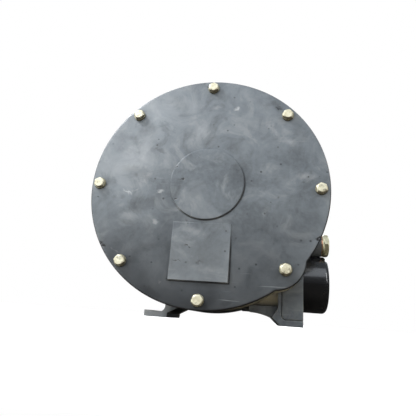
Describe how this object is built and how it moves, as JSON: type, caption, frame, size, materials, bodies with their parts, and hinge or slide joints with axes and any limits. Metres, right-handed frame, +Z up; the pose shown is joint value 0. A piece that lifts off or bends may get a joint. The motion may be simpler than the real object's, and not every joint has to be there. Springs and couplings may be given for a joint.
{
  "type": "central lubrication pump",
  "caption": "Motor-driven grease pump: a short drum on two feet with a worm gear, a cam, piston pump elements and a side motor.",
  "frame": {"origin": "middle of the four foot holes, on the plane that the feet stand on", "axes": "+X towards the motor, +Y from the cover to the back, +Z up"},
  "size_m": [0.2792, 0.1229, 0.2852],
  "materials": {
    "casting": "satin",
    "black_enamel": "gloss",
    "yellow_zinc": "satin",
    "bright_zinc": "satin",
    "steel": "ground",
    "iron": "matte",
    "bronze": "machined",
    "copper": "satin",
    "gasket": "matte",
    "ferrite": "matte",
    "carbon": "matte",
    "black_plastic": "matte",
    "pin_brass": "satin"
  },
  "bodies": {
    "pump_body": {"housing": "casting", "cover": "casting", "rear_bearing_cap": "casting", "motor_can": "black_enamel", "motor_end_bell": "black_enamel", "cover_bolts": "yellow_zinc", "cover_washers": "yellow_zinc", "side_plug": "yellow_zinc", "rear_cap_screws": "yellow_zinc", "top_pump_element": "yellow_zinc", "left_pump_element": "yellow_zinc", "vent_plug": "yellow_zinc", "top_outlet_fitting": "bright_zinc", "left_outlet_fitting": "bright_zinc", "fill_nipple": "bright_zinc", "front_bearing": "steel", "rear_bearing": "steel", "worm_bearing": "steel", "drive_bearing": "steel", "bearing_retaining_ring": "steel", "motor_front_bearing": "steel", "motor_rear_bearing": "steel", "motor_screws": "steel", "top_piston_spring": "steel", "left_piston_spring": "steel", "top_check_spring": "steel", "left_check_spring": "steel", "side_plug_washer": "copper", "top_element_seal": "copper", "left_element_seal": "copper", "cover_gasket": "gasket", "motor_magnets": "ferrite", "motor_brushes": "carbon", "power_socket": "black_plastic", "brush_plate": "black_plastic", "motor_leads": "black_plastic", "socket_pins": "pin_brass"},
    "wheel_train": {"main_shaft": "steel", "shaft_key": "steel", "shaft_retaining_ring": "steel", "wheel_hub": "iron", "worm_wheel_rim": "bronze", "rim_pins": "steel", "pump_cam": "steel", "cam_spacer": "steel", "grease_wiper": "steel"},
    "worm_drive": {"worm_shaft": "steel", "drive_coupling": "steel", "motor_shaft": "steel", "rotor_core": "iron", "rotor_windings": "copper", "commutator": "copper"},
    "top_plunger": {"top_piston": "steel"},
    "left_plunger": {"left_piston": "steel"},
    "top_check": {"top_check_ball": "steel"},
    "left_check": {"left_check_ball": "steel"}
  },
  "joints": [
    {"name": "wheel_spin", "type": "hinge", "parent": "pump_body", "child": "wheel_train", "pos_m": [-0.02, 0, 0.1362], "axis": [0, 1, 0], "continuous": true},
    {"name": "worm_spin", "type": "hinge", "parent": "pump_body", "child": "worm_drive", "pos_m": [-0.02, 0, 0.045], "axis": [1, 0, 0], "continuous": true},
    {"name": "top_piston_slide", "type": "slide", "parent": "pump_body", "child": "top_plunger", "axis": [0, 0, 1], "range_m": [-0.005, 0], "deforming": ["top_piston_spring"]},
    {"name": "top_check_lift", "type": "slide", "parent": "pump_body", "child": "top_check", "axis": [0, 0, 1], "range_m": [0, 0.0012], "stiffness_N_per_m": 150, "springref_m": -0.004, "deforming": ["top_check_spring"]},
    {"name": "left_piston_slide", "type": "slide", "parent": "pump_body", "child": "left_plunger", "axis": [-1, 0, 0], "range_m": [-0.005, 0], "deforming": ["left_piston_spring"]},
    {"name": "left_check_lift", "type": "slide", "parent": "pump_body", "child": "left_check", "axis": [-1, 0, 0], "range_m": [0, 0.0012], "stiffness_N_per_m": 150, "springref_m": -0.004, "deforming": ["left_check_spring"]}
  ],
  "couplings": [
    {"joint": "worm_spin", "follows": "wheel_spin", "ratio": 80}
  ]
}
